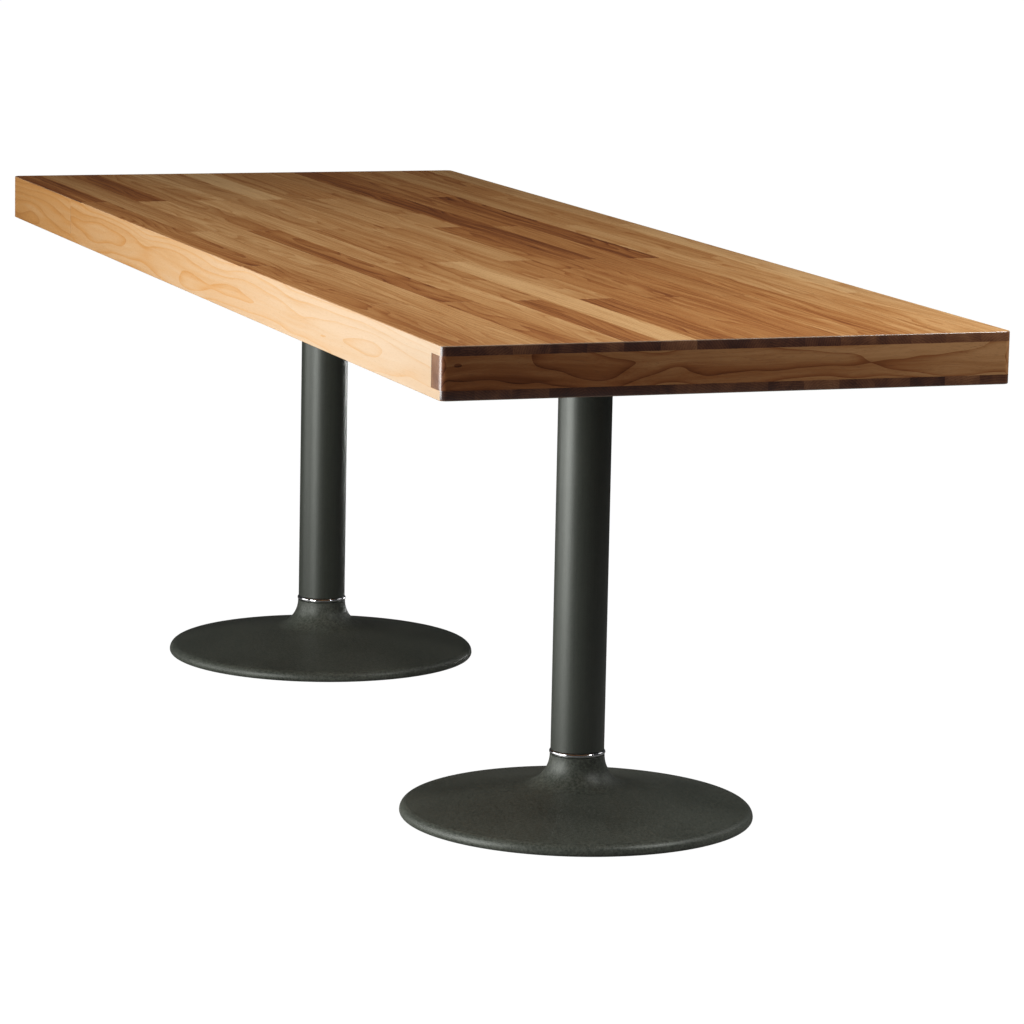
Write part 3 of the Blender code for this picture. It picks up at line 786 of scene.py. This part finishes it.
BASE_RADIUS = (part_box("right_base")[1].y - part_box("right_base")[0].y) / 2
BASE_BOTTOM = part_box("right_base")[0].z
BASE_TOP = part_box("right_base")[1].z
COLUMN_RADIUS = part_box("right_column")[1].y
COLUMN_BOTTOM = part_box("right_column")[0].z
COLUMN_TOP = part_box("right_column")[1].z
RING_BOTTOM, RING_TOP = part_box("right_neck_ring")[0].z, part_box("right_neck_ring")[1].z
RING_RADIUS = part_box("right_neck_ring")[1].y
PLATE_LOW, PLATE_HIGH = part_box("right_mounting_plate")
PLATE_THICKNESS = 0.006
PLATE_BOTTOM = PLATE_HIGH.z - PLATE_THICKNESS
COLUMN_BORE = COLUMN_RADIUS - 0.003
SPIGOT_RADIUS = COLUMN_BORE - GAP
ROD_RADIUS = 0.006
NECK_TOP = RING_BOTTOM - GAP
NECK_RADIUS = COLUMN_RADIUS + 0.0008
RIM_EDGE_RADIUS = 0.005
LIP_RADIUS = 0.012
RIM_WIDTH = 0.014
BASE_WALL = 0.010
FLARE_RADIUS = 0.045
NUT_BOSS_RADIUS = 0.022
BOSS_EASE = 0.0008
SIDE_TOP = BASE_BOTTOM + RIM_EDGE_RADIUS
GLIDE_BOSS_RADIUS = 0.012
GLIDE_BOSS_BOTTOM = 0.0078
STEM_RADIUS = 0.004
SHANK_RADIUS = 0.003


def top_slope():
    """The angle at which the base's top falls outwards, tangent to the flare and to the lip."""
    across = NECK_RADIUS + FLARE_RADIUS - (BASE_RADIUS - LIP_RADIUS)
    up = NECK_TOP - SIDE_TOP
    return math.atan2(across, up) + math.acos((FLARE_RADIUS + LIP_RADIUS) / math.hypot(across, up))


def base_top_height(radius):
    """Height of the sloping top at a radius between the flare and the lip."""
    slope = top_slope()
    lip_x = BASE_RADIUS - LIP_RADIUS + LIP_RADIUS * math.sin(slope)
    lip_z = SIDE_TOP + LIP_RADIUS * math.cos(slope)
    return lip_z + (lip_x - radius) * math.tan(slope)


def along_line(start, end, steps):
    """The points between two outline points, without either of them."""
    shares = [step / steps for step in range(1, steps)]
    return [(start[0] + (end[0] - start[0]) * part, start[1] + (end[1] - start[1]) * part) for part in shares]


def base_outline():
    """Half section of the casting, from the bore under the base round to the spigot."""
    slope = top_slope()
    flare_x = NECK_RADIUS + FLARE_RADIUS
    ceiling_x = flare_x - FLARE_RADIUS * math.sin(slope)
    ceiling_z = base_top_height(ceiling_x) - BASE_WALL
    boss_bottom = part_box("right_rod_washer")[1].z + GAP
    rim_inner = BASE_RADIUS - RIM_WIDTH
    inner_top = base_top_height(rim_inner) - BASE_WALL
    bore = ROD_RADIUS + GAP
    fillet = 0.0012
    chamfer = 0.002
    ease = 0.0005
    outline = [(bore, boss_bottom), (NUT_BOSS_RADIUS - BOSS_EASE, boss_bottom)]
    outline += [(NUT_BOSS_RADIUS, boss_bottom + BOSS_EASE)]
    outline += arc(NUT_BOSS_RADIUS + fillet, ceiling_z - fillet, fillet, math.pi, math.pi / 2, 3)
    outline += [(ceiling_x, ceiling_z)]
    outline += along_line((ceiling_x, ceiling_z), (rim_inner, inner_top), 6)
    outline += [(rim_inner - chamfer, inner_top), (rim_inner, inner_top - chamfer)]
    outline += [(rim_inner, BASE_BOTTOM + ease), (rim_inner + ease, BASE_BOTTOM)]
    outline += arc(BASE_RADIUS - RIM_EDGE_RADIUS, SIDE_TOP, RIM_EDGE_RADIUS, -math.pi / 2, 0.0, 6)
    outline += arc(BASE_RADIUS - LIP_RADIUS, SIDE_TOP, LIP_RADIUS, 0.0, math.pi / 2 - slope, 10)[1:]
    flare = arc(flare_x, NECK_TOP, FLARE_RADIUS, 1.5 * math.pi - slope, math.pi, 16)
    outline += along_line(outline[-1], flare[0], 10)
    outline += flare[:-1]
    outline += [(NECK_RADIUS, NECK_TOP - ease), (NECK_RADIUS - ease, NECK_TOP), (SPIGOT_RADIUS, NECK_TOP)]
    outline += [(SPIGOT_RADIUS, BASE_TOP - 2 * ease), (SPIGOT_RADIUS - 2 * ease, BASE_TOP), (bore, BASE_TOP)]
    return outline


def glide_place(side, number):
    """The axis of a glide, from its stem."""
    low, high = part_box(f"{side}_glide_stem_{number}")
    return (low.x + high.x) / 2, (low.y + high.y) / 2


def add_base(side, axis_x):
    """The casting with its glide bosses and their blind holes."""
    shape = turned(base_outline(), TURNED_STEPS)
    bosses, holes = bmesh.new(), bmesh.new()
    for number in (1, 2, 3):
        x, y = glide_place(side, number)
        x -= axis_x
        top = base_top_height(math.hypot(x, y)) - BASE_WALL / 2
        outline = [
            (0.0, GLIDE_BOSS_BOTTOM),
            (GLIDE_BOSS_RADIUS - BOSS_EASE, GLIDE_BOSS_BOTTOM),
            (GLIDE_BOSS_RADIUS, GLIDE_BOSS_BOTTOM + BOSS_EASE),
            (GLIDE_BOSS_RADIUS, top),
            (0.0, top),
        ]
        add_shape(bosses, turned(outline, SMALL_STEPS, closed=False), x, y)
        stem_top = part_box(f"{side}_glide_stem_{number}")[1].z
        hole = upright(STEM_RADIUS + RUNNING_CLEARANCE, GLIDE_BOSS_BOTTOM - 0.001, stem_top + 0.001)
        add_shape(holes, hole, x, y)
    shape = worked(shape, bosses, "UNION")
    shape = worked(shape, holes, "DIFFERENCE")
    bmesh.ops.translate(shape, verts=shape.verts, vec=(axis_x, 0, 0))
    add_piece(f"{side}_base_casting", shape, (base_paint,), BODY, [f"{side}_base"], 38.0)


def add_column(side, axis_x):
    """The column tube, and the bright bead at its foot."""
    ease = 0.0006
    outline = [
        (COLUMN_BORE, COLUMN_BOTTOM),
        (COLUMN_RADIUS - ease, COLUMN_BOTTOM),
        (COLUMN_RADIUS, COLUMN_BOTTOM + ease),
        (COLUMN_RADIUS, COLUMN_TOP - ease),
        (COLUMN_RADIUS - ease, COLUMN_TOP),
        (COLUMN_BORE, COLUMN_TOP),
    ]
    shape = turned(outline, COLUMN_STEPS)
    bmesh.ops.translate(shape, verts=shape.verts, vec=(axis_x, 0, 0))
    add_piece(f"{side}_column_tube", shape, (column_paint,), BODY, [f"{side}_column"])

    bead = (RING_TOP - RING_BOTTOM) / 2
    outline = [(SPIGOT_RADIUS + GAP, RING_TOP), (SPIGOT_RADIUS + GAP, RING_BOTTOM)]
    outline += arc(RING_RADIUS - bead, RING_BOTTOM + bead, bead, -math.pi / 2, math.pi / 2, 14)
    shape = turned(outline, COLUMN_STEPS)
    bmesh.ops.translate(shape, verts=shape.verts, vec=(axis_x, 0, 0))
    add_piece(f"{side}_neck_bead", shape, (ring_metal,), BODY, [f"{side}_neck_ring"])


def screw_places(side):
    """The axis, the foot and the tip of each of the four screws."""
    places = []
    for number in (1, 2, 3, 4):
        low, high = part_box(f"{side}_plate_screw_{number}")
        places.append(((low.x + high.x) / 2, (low.y + high.y) / 2, low.z, high.z))
    return places


def add_plate(side, axis_x):
    """The plate under the top, with its socket and boss inside the column."""
    half = PLATE_HIGH.y
    inside = PLATE_BOTTOM + PLATE_THICKNESS / 2
    socket_bottom = PLATE_LOW.z
    socket_bore = SPIGOT_RADIUS - 0.004
    ease = 0.001
    boss_radius = 0.014
    boss_height = 0.014
    beyond = 0.001
    shape = bmesh.new()
    size = Matrix.Diagonal((2 * half, 2 * half, PLATE_THICKNESS, 1.0))
    bmesh.ops.create_cube(shape, size=1.0, matrix=Matrix.Translation((0, 0, inside)) @ size)
    corners = [edge for edge in shape.edges if abs(edge.verts[0].co.z - edge.verts[1].co.z) > RISE]
    bmesh.ops.bevel(shape, geom=corners, offset=0.020, segments=10, profile=0.5, affect="EDGES", material=-1)
    rims = [edge for edge in shape.edges if edge.calc_face_angle(0.0) > math.radians(60)]
    bmesh.ops.bevel(shape, geom=rims, offset=0.0008, segments=2, profile=0.5, affect="EDGES", material=-1)
    socket = [
        (socket_bore, inside),
        (socket_bore, socket_bottom),
        (SPIGOT_RADIUS - ease, socket_bottom),
        (SPIGOT_RADIUS, socket_bottom + ease),
        (SPIGOT_RADIUS, inside),
    ]
    shape = worked(shape, turned(socket, 64), "UNION")
    shape = worked(shape, upright(boss_radius, PLATE_BOTTOM - boss_height, inside), "UNION")
    holes = upright(ROD_RADIUS + GAP, PLATE_BOTTOM - 0.02, PLATE_HIGH.z + beyond)
    for x, y, _, _ in screw_places(side):
        hole = upright(SHANK_RADIUS + GAP, PLATE_BOTTOM - beyond, PLATE_HIGH.z + beyond, 24)
        add_shape(holes, hole, x - axis_x, y)
    shape = worked(shape, holes, "DIFFERENCE")
    bmesh.ops.translate(shape, verts=shape.verts, vec=(axis_x, 0, 0))
    add_piece(f"{side}_top_plate", shape, (plate_coat,), BODY, [f"{side}_mounting_plate"])


def add_screws(side):
    """Button-head screws with a hexagon socket, driven up into the wood."""
    seat = PLATE_BOTTOM - GAP
    head_radius = 0.0062
    head_round = 0.0026
    mouth_radius = 0.0036
    socket_radius = 0.0022
    socket_depth = 0.0018
    pitch = 0.0018
    thread_depth = 0.0007
    for number, (x, y, low, high) in enumerate(screw_places(side), 1):
        outline = [(mouth_radius, low)]
        outline += arc(head_radius - head_round, low + head_round, head_round, -math.pi / 2, 0.0, 6)
        outline += [(head_radius, seat), (SHANK_RADIUS, seat)]
        outline += threaded(SHANK_RADIUS, seat + 0.002, high - 0.007, pitch, thread_depth)
        outline += [(0.0024, high - 0.006), (0.0, high)]
        shape = turned(outline, 24, closed=False)
        ring = [edge for edge in shape.edges if edge.is_boundary]
        socket = bmesh.ops.create_circle(
            shape, cap_ends=True, segments=6, radius=socket_radius,
            matrix=Matrix.Translation((0, 0, low + socket_depth)),
        )["verts"]
        floor = next(face for face in shape.faces if set(face.verts) == set(socket))
        walls = bmesh.ops.extrude_edge_only(shape, edges=list(floor.edges))["geom"]
        lifted = [part for part in walls if isinstance(part, bmesh.types.BMVert)]
        bmesh.ops.translate(shape, verts=lifted, vec=(0, 0, -socket_depth))
        mouth = [part for part in walls if isinstance(part, bmesh.types.BMEdge) and part.is_boundary]
        bmesh.ops.bridge_loops(shape, edges=ring + mouth)
        bmesh.ops.translate(shape, verts=shape.verts, vec=(x, y, 0))
        node = f"{side}_plate_screw_{number}"
        add_piece(f"{node}_steel", shape, (zinc_metal,), BODY, [node])


def add_tie_rod(side, axis_x):
    """The rod up the column, with the washer and the nut under the base."""
    low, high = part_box(f"{side}_tie_rod")
    nut_low, nut_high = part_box(f"{side}_rod_nut")
    washer_low, washer_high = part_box(f"{side}_rod_washer")
    tip_radius = 0.0052
    pitch = 0.00175
    thread_depth = 0.0008
    nut_flats = 0.019
    outline = [(0.0, low.z), (tip_radius, low.z)]
    outline += threaded(ROD_RADIUS, low.z + 0.0006, nut_high.z + 0.006, pitch, thread_depth)
    outline += [(ROD_RADIUS, nut_high.z + 0.007), (ROD_RADIUS, high.z - 0.001)]
    outline += [(tip_radius, high.z), (0.0, high.z)]
    shape = turned(outline, SMALL_STEPS, closed=False)
    bmesh.ops.translate(shape, verts=shape.verts, vec=(axis_x, 0, 0))
    add_piece(f"{side}_tie_rod_steel", shape, (zinc_metal,), BODY, [f"{side}_tie_rod"])

    radius = washer_high.y
    bore = ROD_RADIUS + GAP
    ease = 0.0004
    outline = [
        (bore, washer_low.z),
        (radius - ease, washer_low.z),
        (radius, washer_low.z + ease),
        (radius, washer_high.z - ease),
        (radius - ease, washer_high.z),
        (bore, washer_high.z),
    ]
    shape = turned(outline, 48)
    bmesh.ops.translate(shape, verts=shape.verts, vec=(axis_x, 0, 0))
    add_piece(f"{side}_rod_washer_steel", shape, (zinc_metal,), BODY, [f"{side}_rod_washer"])

    shape = hexagon(nut_flats, nut_low.z, nut_high.z)
    shape = worked(shape, upright(bore, nut_low.z - 0.001, nut_high.z + 0.001), "DIFFERENCE")
    bmesh.ops.translate(shape, verts=shape.verts, vec=(axis_x, 0, 0))
    add_piece(f"{side}_rod_nut_steel", shape, (zinc_metal,), BODY, [f"{side}_rod_nut"])


def add_glides(side):
    """Plastic pads on threaded stems with a hexagon collar. Each turns and travels on its own axis."""
    hollow = 0.0003
    foot_round = 0.0008
    top_round = 0.0012
    socket_radius = STEM_RADIUS + RUNNING_CLEARANCE
    socket_floor = 0.0012
    collar_low, collar_high = 0.0043, 0.0075
    collar_flats = 0.013
    pitch = 0.00125
    thread_depth = 0.0006
    for number in (1, 2, 3):
        x, y = glide_place(side, number)
        pad_low, pad_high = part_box(f"{side}_glide_pad_{number}")
        radius = (pad_high.x - pad_low.x) / 2
        height = pad_high.z
        outline = [(0.0, hollow), (radius * 0.55, hollow), (radius * 0.6, 0.0), (radius - foot_round, 0.0)]
        outline += arc(radius - foot_round, foot_round, foot_round, -math.pi / 2, 0.0, 4)[1:]
        outline += arc(radius - top_round, height - top_round, top_round, 0.0, math.pi / 2, 5)
        outline += [(socket_radius, height), (socket_radius, socket_floor), (0.0, socket_floor)]
        shape = turned(outline, 64, closed=False)
        bmesh.ops.translate(shape, verts=shape.verts, vec=(x, y, 0))
        node = f"{side}_glide_pad_{number}"
        add_piece(f"{node}_moulded", shape, (pad_plastic,), f"{side}_pad_{number}", [node])

        stem_low, stem_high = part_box(f"{side}_glide_stem_{number}")
        outline = [(0.0, stem_low.z), (STEM_RADIUS, stem_low.z)]
        outline += threaded(
            STEM_RADIUS, collar_high + 0.0001, stem_high.z - thread_depth, pitch, thread_depth,
        )
        outline += [(STEM_RADIUS - thread_depth, stem_high.z), (0.0, stem_high.z)]
        shape = turned(outline, SMALL_STEPS, closed=False)
        collar = hexagon(collar_flats, collar_low, collar_high)
        shape = worked(shape, collar, "UNION")
        bmesh.ops.translate(shape, verts=shape.verts, vec=(x, y, 0))
        node = f"{side}_glide_stem_{number}"
        add_piece(f"{node}_steel", shape, (zinc_metal,), f"{side}_stem_{number}", [node])


def main():
    """Sets the stage and builds the table."""
    bpy.context.scene.view_settings.view_transform = "Standard"
    add_camera()
    add_lights()
    add_floor()
    add_tabletop()
    for side, axis_x in SIDES:
        add_base(side, axis_x)
        add_column(side, axis_x)
        add_plate(side, axis_x)
        add_screws(side)
        add_tie_rod(side, axis_x)
        add_glides(side)


main()
